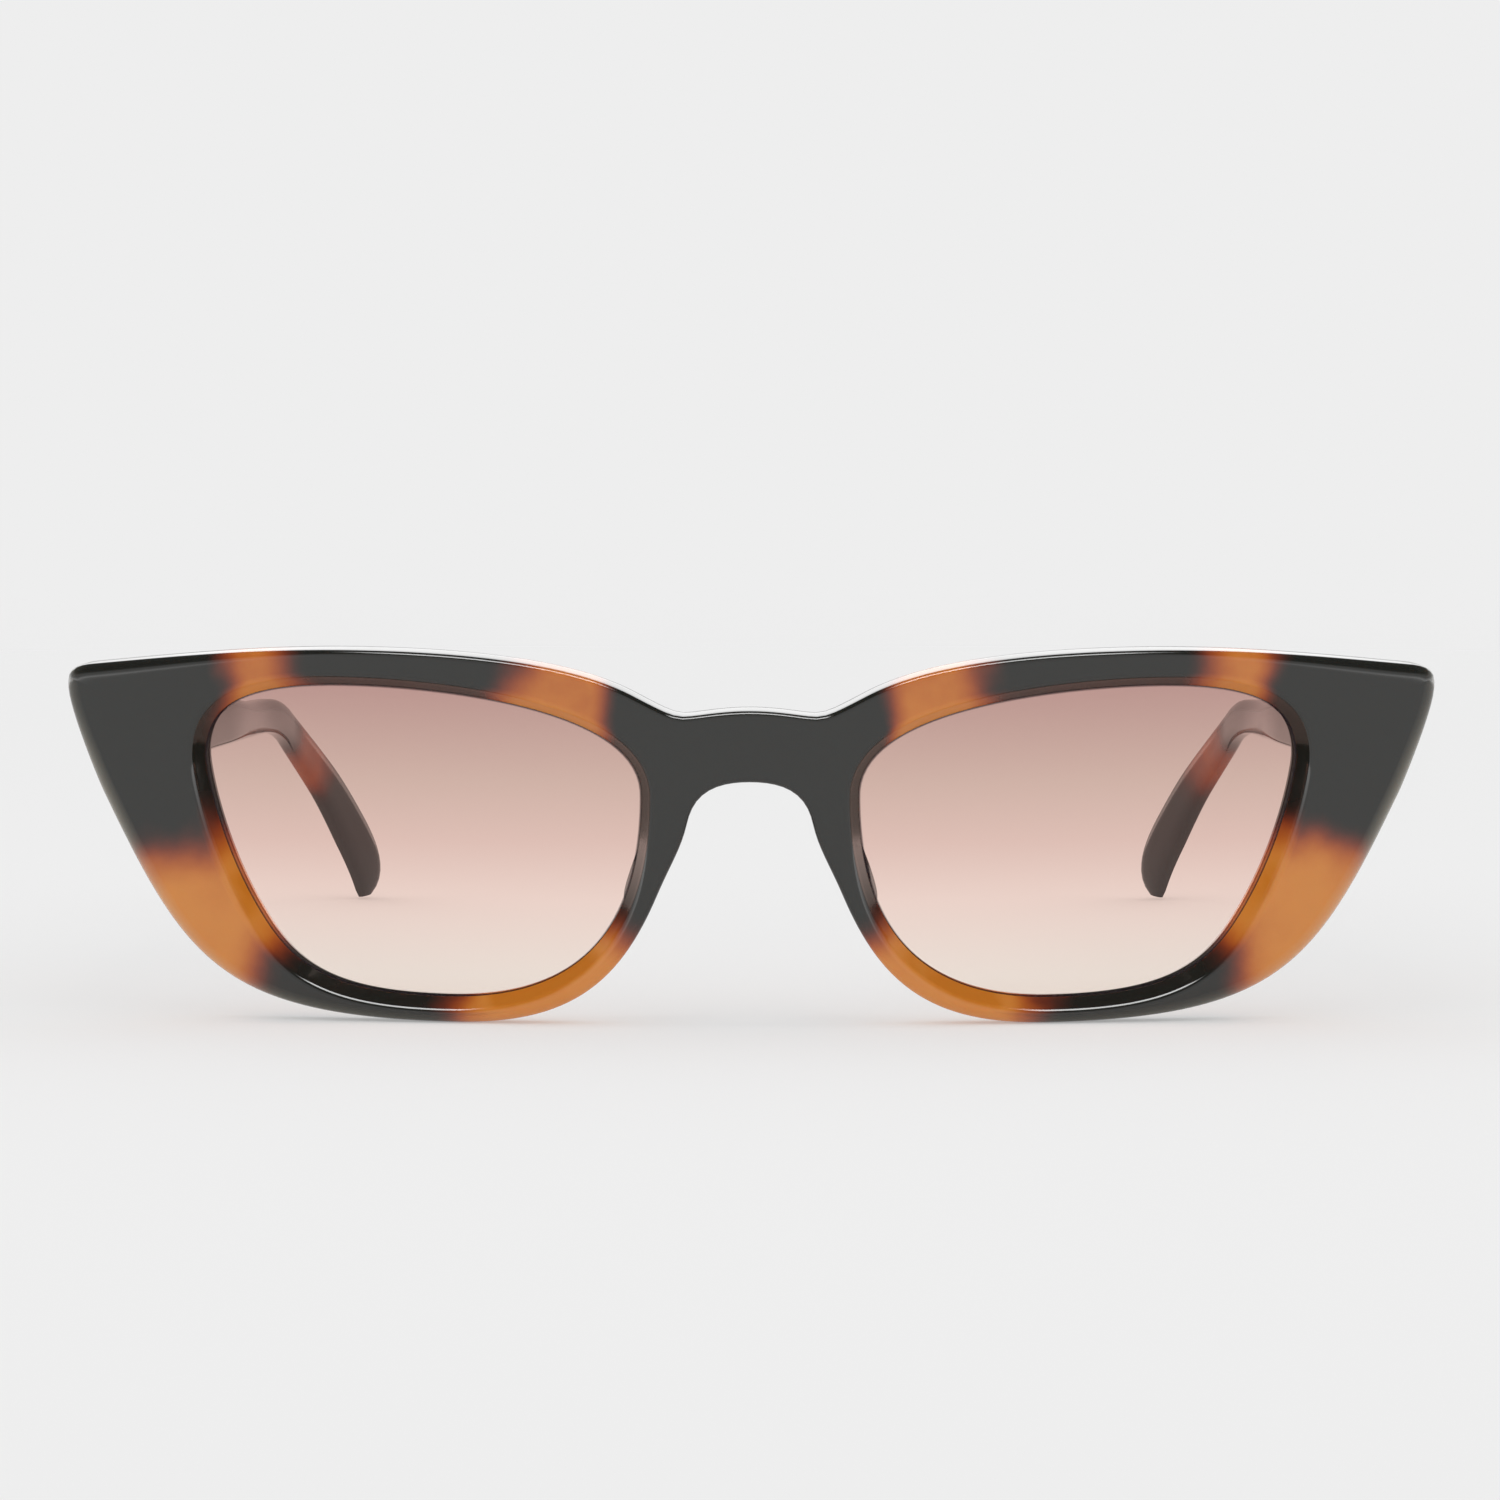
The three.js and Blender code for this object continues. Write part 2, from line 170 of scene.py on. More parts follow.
opening_fine = [Vector(OPENING_START)]
for row in OPENING:
    opening_fine += polyline(opening_fine[-1], row)[1:]
opening_length = length_of(opening_fine)


def distance_facing(target):
    """How far along the lens opening the point nearest to the target lies."""
    walked = 0.0
    nearest = (math.inf, 0.0)
    for a, b in zip(opening_fine, opening_fine[1:]):
        nearest = min(nearest, ((a - Vector(target)).length, walked))
        walked += (b - a).length
    return nearest[1]


def opening_at(distance):
    """A point of the lens opening and the unit normal there, pointing into the rim."""
    distance %= opening_length
    before, here, after = (along(opening_fine, [place % opening_length])[0]
                           for place in (distance - NEARBY, distance, distance + NEARBY))
    tangent = (after - before).normalized()
    return here, Vector((-tangent.y, tangent.x))


# ------------------------------------------------------------------ mesh helpers
def mesh_object(name, verts, faces, smooth_angle=40):
    mesh = bpy.data.meshes.new(name)
    mesh.from_pydata([tuple(v) for v in verts], [], faces)
    mesh.validate()
    work = bmesh.new()
    work.from_mesh(mesh)
    bmesh.ops.recalc_face_normals(work, faces=work.faces)
    work.to_mesh(mesh)
    work.free()
    mesh.shade_smooth()
    if smooth_angle:
        mesh.set_sharp_from_angle(angle=math.radians(smooth_angle))
    obj = bpy.data.objects.new(name, mesh)
    bpy.context.scene.collection.objects.link(obj)
    return obj


def ring_faces(rings, around):
    """The quads between each ring of vertices and the next."""
    faces = []
    for r in range(rings):
        for k in range(around):
            n = (k + 1) % around
            a, b = r * around, (r + 1) * around
            faces.append([a + k, a + n, b + n, b + k])
    return faces


def tube_faces(rings, around):
    """The same quads, and the caps of the first and the last ring."""
    caps = [list(range(around)), list(range(rings * around, (rings + 1) * around))]
    return ring_faces(rings, around), caps


def mark(obj, name, values):
    """Stores one number for each vertex, for a material to read."""
    attribute = obj.data.attributes.new(name, "FLOAT", "POINT")
    attribute.data.foreach_set("value", values)


# ------------------------------------------------------------------ front
COLUMN_SPACING = 0.9
BRIDGE_COLUMNS = 7
FACE_ROWS = 7
EDGE_STEPS = 5             # rows round the outer edge
BACK_STEPS = 4             # rows round the rear outer edge
LIP_STEPS = 3              # rows round the rear lip of the opening
BEVEL_STEPS = 5            # rows over the bevel
CREST_STEPS = 6            # rows round the fillet above it
BACK_RADIUS = 0.6
CREST = (0.62, 0.45)       # reach of the fillet between bevel and front face, on each of them
LIP = 0.45                 # rounding of the rear lip
GROOVE_PLAY = 0.15         # room beyond the lens edge at the bottom of the groove
GROOVE_FLOOR = 0.25        # half width of the bottom of the groove
LENS_PLAY = 0.05           # gap between the lens and the rear lip


def front_columns():
    """The columns of the front's left half: outline point, inward normal, edge radius, edge glow,
    opening point and its normal. A column on the bridge's middle line has no normal."""
    columns = []
    start = Vector(OUTLINE_START)
    facing = [distance_facing(point) for point in FACING]
    for i, row in enumerate(OUTLINE):
        points = even(start, row, COLUMN_SPACING)
        ahead = (facing[i + 1] - facing[i]) % opening_length
        for k, point in enumerate(points):
            t = k / len(points)
            radius, glow = (values[i] + (values[i + 1] - values[i]) * smoothstep(t, 0, 1)
                            for values in (EDGE_RADIUS, PAINTED_EDGE_GLOW))
            columns.append([point, radius, glow, facing[i] + ahead * t])
        start = Vector(row[4:])
    columns.append([start, EDGE_RADIUS[-1], PAINTED_EDGE_GLOW[-1], facing[-1]])
    made = []
    for k, (point, radius, glow, distance) in enumerate(columns):
        before = columns[k - 1][0] if k else Vector((-columns[1][0].x, columns[1][0].y))
        after = columns[k + 1][0] if k + 1 < len(columns) else Vector((-before.x, before.y))
        tangent = (after - before).normalized()
        made.append((point, Vector((tangent.y, -tangent.x)), radius, glow, *opening_at(distance)))
    gap = (facing[0] - facing[-1]) % opening_length
    for k in range(1, BRIDGE_COLUMNS):
        t = k / BRIDGE_COLUMNS
        point = start.lerp(Vector(OUTLINE_START), t)
        made.append((point, None, 0.0, 0.0, *opening_at(facing[-1] + gap * t)))
    return made


def section(column):
    """One cross-section of the rim: (u, z, depth, mark) round from the front face's outer edge, over
    the outer wall, the back, the lens groove and the bevel. The mark is 1 on the bevel and down to -1
    on an outer edge that is painted pale as light coming through it. Rows that the bridge's middle line
    doesn't have are None."""
    point, inward, radius, glow, inner, into_rim = column
    rows = []

    def outer(distance, depth, mark_value=0.0):
        place = point + inward * distance if inward else None
        rows.append((place.x, place.y, depth, mark_value) if place else None)

    def rim(distance, depth, bevel=0.0):
        place = inner + into_rim * distance
        rows.append((place.x, place.y, depth, bevel))

    def between(a, b, depth):
        for k in range(1, FACE_ROWS):
            place = a.lerp(b, k / FACE_ROWS)
            rows.append((place.x, place.y, depth, 0.0))

    face_edge = point + inward * radius if inward else point
    back_edge = point + inward * BACK_RADIUS if inward else point
    rows.append((face_edge.x, face_edge.y, 0.0, 0.0))
    # Painted light: the rows round the outer edge and down its wall get a negative mark, which paints them
    # pale.
    for k in range(1, EDGE_STEPS + 1):
        turn = math.pi / 2 * k / EDGE_STEPS
        outer(radius * (1 - math.sin(turn)), radius * (1 - math.cos(turn)), -glow * k / EDGE_STEPS)
    for t in (1 / 3, 2 / 3):
        outer(0, radius + (FRONT_THICKNESS - BACK_RADIUS - radius) * t, -glow * (1 - t))
    for k in range(BACK_STEPS):
        turn = math.pi / 2 * k / BACK_STEPS
        outer(BACK_RADIUS * (1 - math.cos(turn)), FRONT_THICKNESS - BACK_RADIUS * (1 - math.sin(turn)))
    rows.append((back_edge.x, back_edge.y, FRONT_THICKNESS, 0.0))
    between(back_edge, inner + into_rim * LIP, FRONT_THICKNESS)
    for k in range(LIP_STEPS + 1):
        turn = math.pi / 2 * k / LIP_STEPS
        rim(LIP * (1 - math.sin(turn)), FRONT_THICKNESS - LIP * (1 - math.cos(turn)), 0.5)
    middle = LENS_DEPTH + LENS_THICKNESS / 2
    rim(0, LENS_DEPTH + LENS_THICKNESS + LENS_PLAY, 0.6)
    for depth in (middle + GROOVE_FLOOR, middle - GROOVE_FLOOR):
        rim(LENS_TUCK + GROOVE_PLAY, depth, 1.0)
    rim(0, LENS_DEPTH, 1.0)
    crest_from = 1 - CREST[0] / Vector((RIM_BEVEL, LENS_DEPTH)).length
    for k in range(1, BEVEL_STEPS + 1):
        t = crest_from * k / BEVEL_STEPS
        rim(RIM_BEVEL * t, LENS_DEPTH * (1 - t), 1.0)
    crest = (RIM_BEVEL * (1 + 2 * crest_from) / 3, LENS_DEPTH * (1 - crest_from) / 3,
             RIM_BEVEL + CREST[1] / 3, 0.0, RIM_BEVEL + CREST[1], 0.0)
    for k in range(1, CREST_STEPS):
        t = k / CREST_STEPS
        distance, depth = cubic((RIM_BEVEL * crest_from, LENS_DEPTH * (1 - crest_from)), crest, t)
        rim(distance, depth, 1 - t)
    rim(RIM_BEVEL + CREST[1], 0.0, 0.0)
    between(inner + into_rim * (RIM_BEVEL + CREST[1]), face_edge, 0.0)
    return rows


def front_half(side):
    """Half of the front, as a strip of cross-sections all the way round the lens opening."""
    sections = [section(column) for column in front_columns()]
    verts = []
    bevels = []
    index = []
    for rows in sections:
        numbers = []
        for row in rows:
            if row is None:
                numbers.append(None)
                continue
            u, z, depth, bevel = row
            numbers.append(len(verts))
            verts.append(bent(side * u, depth, z))
            bevels.append(bevel)
        index.append(numbers)
    faces = []
    for a, b in zip(index, index[1:] + index[:1]):
        count = len(a)
        for k in range(count):
            corners = [a[k], a[(k + 1) % count], b[(k + 1) % count], b[k]]
            if None not in corners:
                faces.append(corners[::side])
    return verts, faces, bevels


BOSS = {"inner": 58.6, "outer": 67.4, "back": 15.0, "half_height": 4.7, "corner": 1.2, "fillet": 0.5}
RECESS = {"half_width": 1.7, "half_height": 3.9, "depth": 1.5, "corner": 0.3}
BOSS_ROOT = 10.8           # inside the front, so that the end piece grows out of it
FILLET_STEPS = 3
CORNER_STEPS = 5
AROUND_BOX = 4 * (CORNER_STEPS + 1)


def rounded_box(half_width, half_tall, radius):
    """The outline of a box with round corners, as (across, up) pairs."""
    outline = []
    for corner in range(4):
        sx, sz = [(1, 1), (-1, 1), (-1, -1), (1, -1)][corner]
        for k in range(CORNER_STEPS + 1):
            turn = math.radians(90 * corner + 90 * k / CORNER_STEPS)
            outline.append((sx * (half_width - radius) + radius * math.cos(turn),
                            sz * (half_tall - radius) + radius * math.sin(turn)))
    return outline


def end_piece(side):
    """The thickened end of the front behind the temple's hinge, with the recess for its leaf."""
    half_wide = (BOSS["outer"] - BOSS["inner"]) / 2
    middle = (BOSS["outer"] + BOSS["inner"]) / 2
    loops = [(half_wide, BOSS["half_height"], BOSS["corner"], BOSS_ROOT, middle)]
    for k in range(FILLET_STEPS + 1):
        turn = math.pi / 2 * k / FILLET_STEPS
        inset = BOSS["fillet"] * (1 - math.cos(turn))
        loops.append((half_wide - inset, BOSS["half_height"] - inset, BOSS["corner"] - inset / 2,
                      BOSS["back"] - BOSS["fillet"] * (1 - math.sin(turn)), middle))
    recess = RECESS["half_width"], RECESS["half_height"], RECESS["corner"]
    loops.append((*recess, BOSS["back"], PIN.x))
    loops.append((*recess, BOSS["back"] - RECESS["depth"], PIN.x))
    verts = []
    for half_width, half_tall, radius, y, x in loops:
        for across, up in rounded_box(half_width, half_tall, radius):
            verts.append(from_front(side * (x + across), y, PIN.z + up))
    side_faces, caps = tube_faces(len(loops) - 1, AROUND_BOX)
    return verts, side_faces + caps[::-1], [0.0] * len(verts)


def make_front():
    verts, faces, bevels = [], [], []
    for more in (front_half(1), front_half(-1), end_piece(1), end_piece(-1)):
        faces += [[corner + len(verts) for corner in face] for face in more[1]]
        verts += more[0]
        bevels += more[2]
    obj = mesh_object("front", verts, faces, smooth_angle=None)
    mark(obj, "bevel", bevels)
    work = bmesh.new()
    work.from_mesh(obj.data)
    bmesh.ops.remove_doubles(work, verts=work.verts, dist=1e-6)
    bmesh.ops.recalc_face_normals(work, faces=work.faces)
    work.to_mesh(obj.data)
    work.free()
    obj.data.shade_smooth()
    obj.data.set_sharp_from_angle(angle=math.radians(50))
    return obj


# ------------------------------------------------------------------ lenses
LENS_COLUMNS = 150
LENS_RINGS = 16
LENS_LINE = 0.22           # width of the painted shade line where the lens enters its groove
LENS_CHAMFER = 0.1         # how much the edge in the groove is thinned from each face


def make_lens(side, name):
    """A domed sheet whose slightly thinner edge sits in the groove, drawn as rings round its middle."""
    rim = [opening_at(opening_length * k / LENS_COLUMNS) for k in range(LENS_COLUMNS)]
    centre = sum((point for point, _ in rim), Vector((0, 0))) / LENS_COLUMNS
    verts = []
    edge = []

    def ring(scale, grow, depth, mark_value):
        for point, normal in rim:
            place = centre + (point - centre) * scale + normal * grow
            dome = LENS_DOME * (1 - scale * scale)
            verts.append(bent(side * place.x, depth - dome, place.y))
            edge.append(mark_value)

    front, back = LENS_DEPTH, LENS_DEPTH + LENS_THICKNESS
    scales = [math.sin(math.pi / 2 * (k + 1) / LENS_RINGS) for k in range(LENS_RINGS)]
    for scale in scales:
        ring(scale, -LENS_LINE * scale, front, 0.0)
    # Painted shade: this ring of the face starts the dark line by the groove.
    ring(1, -LENS_LINE / 3, front, 0.8)
    ring(1, LENS_TUCK, front + LENS_CHAMFER, 1.0)
    ring(1, LENS_TUCK, back - LENS_CHAMFER, 1.0)
    ring(1, -LENS_LINE / 3, back, 0.0)
    for scale in reversed(scales):
        ring(scale, -LENS_LINE * scale, back, 0.0)
    last_ring = 2 * LENS_RINGS + 3
    faces = ring_faces(last_ring, LENS_COLUMNS)
    for base, depth in ((0, front), (last_ring * LENS_COLUMNS, back)):
        verts.append(bent(side * centre.x, depth - LENS_DOME, centre.y))
        edge.append(0.0)
        faces += [[base + k, base + (k + 1) % LENS_COLUMNS, len(verts) - 1] for k in range(LENS_COLUMNS)]
    obj = mesh_object(name, verts, faces, smooth_angle=35)
    mark(obj, "edge", edge)
    return obj


# ------------------------------------------------------------------ temples, about the hinge pin
TEMPLE_LINE = [(-5, 0.4), (30, -3.7), (75, -10.1), (102, -14.1), (112.6, -18.0), (121.2, -24.7),
               (126.8, -32.6), (129.0, -37.4), (129.4, -40.5)]
TEMPLE_HEIGHTS = (3.9, 2.0, 2.15)    # half heights at the hinge, before the ear and at the tip
TEMPLE_THICKNESS = 4.4
TEMPLE_INNER = 1.9
TEMPLE_START = -1.5
TEMPLE_SPLAY = 0.083
THIN_FROM, THIN_TO, THINNED = 50.0, 95.0, 0.5
CURL_START = 109.0
CURL_RADIUS = 29.4
# The stretches over which the height falls behind the hinge and grows again behind the ear, as parts
# of the temple's length.
TEMPLE_TAPER = (0.02, 0.62)
EAR_SWELL = (0.7, 0.95)


def half_height(part):
    hinge_end, ear, tip = TEMPLE_HEIGHTS
    fallen = hinge_end + (ear - hinge_end) * smoothstep(part, *TEMPLE_TAPER)
    return fallen + (tip - ear) * smoothstep(part, *EAR_SWELL)


def spline(points, per_span=40):
    """A smooth curve through the points, as a polyline."""
    points = [Vector(p) for p in points]
    ends = [points[0] * 2 - points[1], *points, points[-1] * 2 - points[-2]]
    line = [points[0]]
    for p0, p1, p2, p3 in zip(ends, ends[1:], ends[2:], ends[3:]):
        t1 = (p1 - p0).length ** 0.5
        t2 = (p2 - p1).length ** 0.5
        t3 = (p3 - p2).length ** 0.5
        m1 = t2 * ((p1 - p0) / t1 - (p2 - p0) / (t1 + t2) + (p2 - p1) / t2)
        m2 = t2 * ((p2 - p1) / t2 - (p3 - p1) / (t2 + t3) + (p3 - p2) / t3)
        for k in range(1, per_span + 1):
            t = k / per_span
            line.append(p1 * (2 * t ** 3 - 3 * t * t + 1) + m1 * (t ** 3 - 2 * t * t + t)
                        + p2 * (3 * t * t - 2 * t ** 3) + m2 * (t ** 3 - t * t))
    return line


def temple_point(side, x, y, z):
    """A point of the straight temple, from the hinge pin, after it is thinned, splayed and curled."""
    outer = TEMPLE_INNER + TEMPLE_THICKNESS
    thin = 1 - (1 - THINNED) * smoothstep(y, THIN_FROM, THIN_TO)
    splay = TEMPLE_SPLAY * (y - TEMPLE_START)
    curl = max(0.0, y - CURL_START) ** 2 / (2 * CURL_RADIUS)
    x = outer - (outer - x) * thin - splay - curl
    return from_front(side * (PIN.x + x), PIN.y + y, PIN.z + z)


TEMPLE_RINGS = 170
RING_STEP = 0.3            # over which the line's direction is measured
# Parts of the temple's line: where the temple starts, with its ring upright; where the rings have
# come to lean with the line; and from where they are exactly square to it.
LINE_FROM, UPRIGHT_TO, LEANING_TO = 0.03, 0.15, 0.5
TIP_ROOM = 0.25            # how much shorter than its line the temple ends
TIP_FROM = 0.94            # where the tip starts to narrow, as a part of the temple's length
TIP_TALL, TIP_WIDE = (0.88, 2.4), (0.85, 4)     # its cut and power, in height and in width
TIP_LEAN = 0.5             # how much of the lost height goes from the rear edge only
# Corner radius as a share of the smaller half size: at the hinge, what the ear end adds over the
# stretch of the length given, and what the tip adds.
ROUND_HINGE, ROUND_EAR, ROUNDING, ROUND_TIP = 0.35, 0.35, (0.3, 0.7), 0.25


def narrowed(tip, cut, power):
    """The share of a size that is left at a place in the tip, 0 where it starts and 1 at its end."""
    return math.sqrt(1 - cut * tip ** power)


def make_temple(side, name):
    """Rings along the temple's line, drawn side-on and then bent by temple_point."""
    line = spline(TEMPLE_LINE)
    total = length_of(line)
    verts = []
    reach = []
    for i in range(TEMPLE_RINGS + 1):
        part = LINE_FROM + (1 - LINE_FROM) * i / TEMPLE_RINGS
        walked = part * (total - TIP_ROOM)
        here, ahead = along(line, [walked - RING_STEP, walked])
        tangent = (ahead - here).normalized()
        if part < LEANING_TO:
            leaning = smoothstep(part, LINE_FROM, UPRIGHT_TO)
            up = Vector((-tangent.y * leaning, 1)).normalized()
        else:
            up = Vector((-tangent.y, tangent.x))
        tip = max(0.0, (part - TIP_FROM) / (1 - TIP_FROM))
        kept = narrowed(tip, *TIP_TALL)
        half_tall = half_height(part) * kept
        towards_front = half_height(part) * (1 - kept) * TIP_LEAN
        half_width = TEMPLE_THICKNESS / 2 * narrowed(tip, *TIP_WIDE)
        roundness = ROUND_HINGE + ROUND_EAR * smoothstep(part, *ROUNDING) + ROUND_TIP * tip
        for across, tall in rounded_box(half_width, half_tall, min(half_width, half_tall) * roundness):
            place = ahead + up * (tall - towards_front)
            y = max(place.x, TEMPLE_START) if i else TEMPLE_START
            x = TEMPLE_INNER + TEMPLE_THICKNESS / 2 + across
            verts.append(temple_point(side, x, y, place.y))
            reach.append(part * total)
    side_faces, caps = tube_faces(TEMPLE_RINGS, AROUND_BOX)
    obj = mesh_object(name, verts, side_faces + caps, smooth_angle=45)
    mark(obj, "reach", reach)
    return obj


# ------------------------------------------------------------------ nose pads
PAD_ROOT = Vector((8.6, 4.5, 16.6))
PAD_THICKNESS, PAD_DEPTH, PAD_HEIGHT = 2.0, 6.6, 12.5
PAD_SPLAY, PAD_TILT = math.radians(15), math.radians(22)
PAD_RINGS = 14
PAD_AROUND = 48
PAD_EDGE = 0.9             # how far its edge is rounded
PAD_REACH = 0.6            # half its length front to back, as a share of its depth behind the root
PAD_TAPER = 0.18           # how much thinner its rear edge is
PAD_TAPER_FROM = 2         # how far behind its root that starts


def make_pad(side, name):
    """A crowned pad: oval in side view, thick at the front and thinner towards its rear edge."""
    turn = Matrix.Rotation(-PAD_TILT, 3, "Y") @ Matrix.Rotation(-PAD_SPLAY, 3, "Z")
    verts = []
    for r in range(PAD_RINGS + 1):
        across = math.pi * r / PAD_RINGS
        thick = PAD_THICKNESS / 2 * (1 - math.cos(across))
        inset = PAD_EDGE * (1 - math.sin(across)) ** 1.2
        for k in range(PAD_AROUND):
            angle = 2 * math.pi * k / PAD_AROUND
            c, s = math.cos(angle), math.sin(angle)
            half_depth = PAD_DEPTH * PAD_REACH - inset
            back = PAD_DEPTH * (1 - PAD_REACH) + half_depth * math.copysign(abs(c) ** 0.8, c)
            up = (PAD_HEIGHT / 2 - inset) * math.copysign(abs(s) ** 0.85, s)
            taper = 1 - PAD_TAPER * smoothstep(back, PAD_TAPER_FROM, PAD_DEPTH)
            place = PAD_ROOT + turn @ Vector((thick * taper, back, up))
            place.y = max(place.y, PAD_ROOT.y + 0.1)
            verts.append(from_front(side * place.x, place.y, place.z))
    side_faces, caps = tube_faces(PAD_RINGS, PAD_AROUND)
    return mesh_object(name, verts, side_faces + caps, smooth_angle=60)


# ------------------------------------------------------------------ materials
def new_material(name):
    material = bpy.data.materials.new(name)
    material.use_nodes = True
    tree = material.node_tree
    tree.nodes.clear()
    return material, tree


def link(tree, a, b):
    tree.links.new(a, b)


def node(tree, kind, **settings):
    made = tree.nodes.new(kind)
    for key, value in settings.items():
        setattr(made, key, value)
    return made


def maths(tree, operation, a, b=None, clamp=False):
    """A sum or the like of one or two sockets or numbers."""
    made = node(tree, "ShaderNodeMath", operation=operation, use_clamp=clamp)
    for socket, value in zip(made.inputs, (a, b)):
        if value is None:
            continue
        if isinstance(value, (int, float)):
            socket.default_value = value
        else:
            link(tree, value, socket)
    return made.outputs[0]


def remap(tree, value, low, high, at_low=0, at_high=1, smooth=False):
    """Turns low..high into at_low..at_high, held at both ends, as a soft S where smooth is set."""
    made = node(tree, "ShaderNodeMapRange", interpolation_type="SMOOTHSTEP" if smooth else "LINEAR")
    link(tree, value, made.inputs["Value"])
    for name, number in (("From Min", low), ("From Max", high), ("To Min", at_low), ("To Max", at_high)):
        made.inputs[name].default_value = number
    return made.outputs["Result"]


def noise(tree, place, scale, detail=2):
    made = node(tree, "ShaderNodeTexNoise")
    link(tree, place, made.inputs["Vector"])
    made.inputs["Scale"].default_value = scale
    made.inputs["Detail"].default_value = detail
    return made.outputs


def colours_along(tree, value, stops, interpolation="LINEAR"):
    """The colour at a value from 0 to 1, between stops of position and colour."""
    made = node(tree, "ShaderNodeValToRGB")
    made.color_ramp.interpolation = interpolation
    elements = made.color_ramp.elements
    while len(elements) < len(stops):
        elements.new(0.5)
    for element, (position, colour) in zip(elements, stops):
        element.position = position
        element.color = (*colour, 1)
    link(tree, value, made.inputs["Fac"])
    return made.outputs["Color"]


def scaled(tree, vector, factor):
    made = node(tree, "ShaderNodeVectorMath", operation="SCALE")
    link(tree, vector, made.inputs[0])
    made.inputs["Scale"].default_value = factor
    return made.outputs[0]


def mixed(tree, factor, a, b):
    """Shader a where the factor is 0 and shader b where it is 1."""
    made = node(tree, "ShaderNodeMixShader")
    link(tree, factor, made.inputs["Fac"])
    link(tree, a, made.inputs[1])
    link(tree, b, made.inputs[2])
    return made.outputs[0]


def patch(tree, place, centre, size, tilt, softness):
    """1 inside a soft-edged box that lies tilted in the x-z plane, 0 outside."""
    turned = node(tree, "ShaderNodeMapping", vector_type="TEXTURE")
    link(tree, place, turned.inputs["Vector"])
    turned.inputs["Location"].default_value = (centre[0], 0, centre[1])
    turned.inputs["Rotation"].default_value = (0, math.radians(-tilt), 0)
    away = node(tree, "ShaderNodeVectorMath", operation="ABSOLUTE")
    link(tree, turned.outputs["Vector"], away.inputs[0])
    split = node(tree, "ShaderNodeSeparateXYZ")
    link(tree, away.outputs[0], split.inputs[0])
    inside = [remap(tree, split.outputs[axis], half - soft, half + soft, 1, 0, smooth=True)
              for axis, half, soft in zip("XZ", size, softness)]
    return maths(tree, "MULTIPLY", *inside)


# Dark patches of the front, in millimetres from its middle: centre (x, z), half size (x, z), tilt in
# degrees, and softness of the edges in x and z.
FRONT_PATCHES = [
    ((0.0, 30.0), (13.5, 9.0), 0, (2.8, 3.5)),        # bridge
    ((10.0, 19.0), (4.8, 9.4), 20, (3.0, 5.0)),       # down the nose side
    ((35.8, 37.0), (10.3, 6.3), 0, (4.8, 3.5)),       # top of the rim
    ((70.0, 36.0), (14.2, 19.3), -16, (3.6, 6.0)),    # tip and end piece
    ((40.6, 1.4), (10.3, 6.6), 14, (4.6, 4.5)),       # under the lens
]
# Dark stretches of a temple, in millimetres along its length: middle, half length, softness.
TEMPLE_PATCHES = [(10, 17, 5), (48, 8, 6), (87.5, 32.5, 10), (148.5, 19.5, 10)]

SHEET_COLOURS = [
    (0.0, (0.60, 0.185, 0.012)),
    (0.12, (0.74, 0.29, 0.055)),
    (0.30, (0.60, 0.180, 0.026)),
    (0.46, (0.41, 0.088, 0.020)),
    (0.60, (0.20, 0.038, 0.016)),
    (0.74, (0.060, 0.021, 0.015)),
]
FRONT_DARK = (0.0150, 0.0152, 0.0125)
# The temples' dark acetate, lighter than the front's as painted sheen, standing in for the stronger
# reflection on their tips.
TEMPLE_DARK_AND_SHEEN = (0.0340, 0.0290, 0.0280)
# Painted light: the pale colour that the outer edges are painted with, standing in for light coming
# through them.
PAINTED_EDGE_LIGHT = (0.58, 0.52, 0.40)
AMBER = 0.12               # density that the sheet has everywhere
DEEPENING = 0.005          # how much denser the front's sheet gets for each millimetre of height
MOTTLE = 0.35              # how much the density varies
THIN_BEVEL = 0.16          # how much less dense the sheet looks on the bevel
GLOW_SHARE = 0.6           # how far a fully glowing edge is painted with the pale edge light
DRIFT = 6.0                # range over which the patches' outlines wander, in millimetres


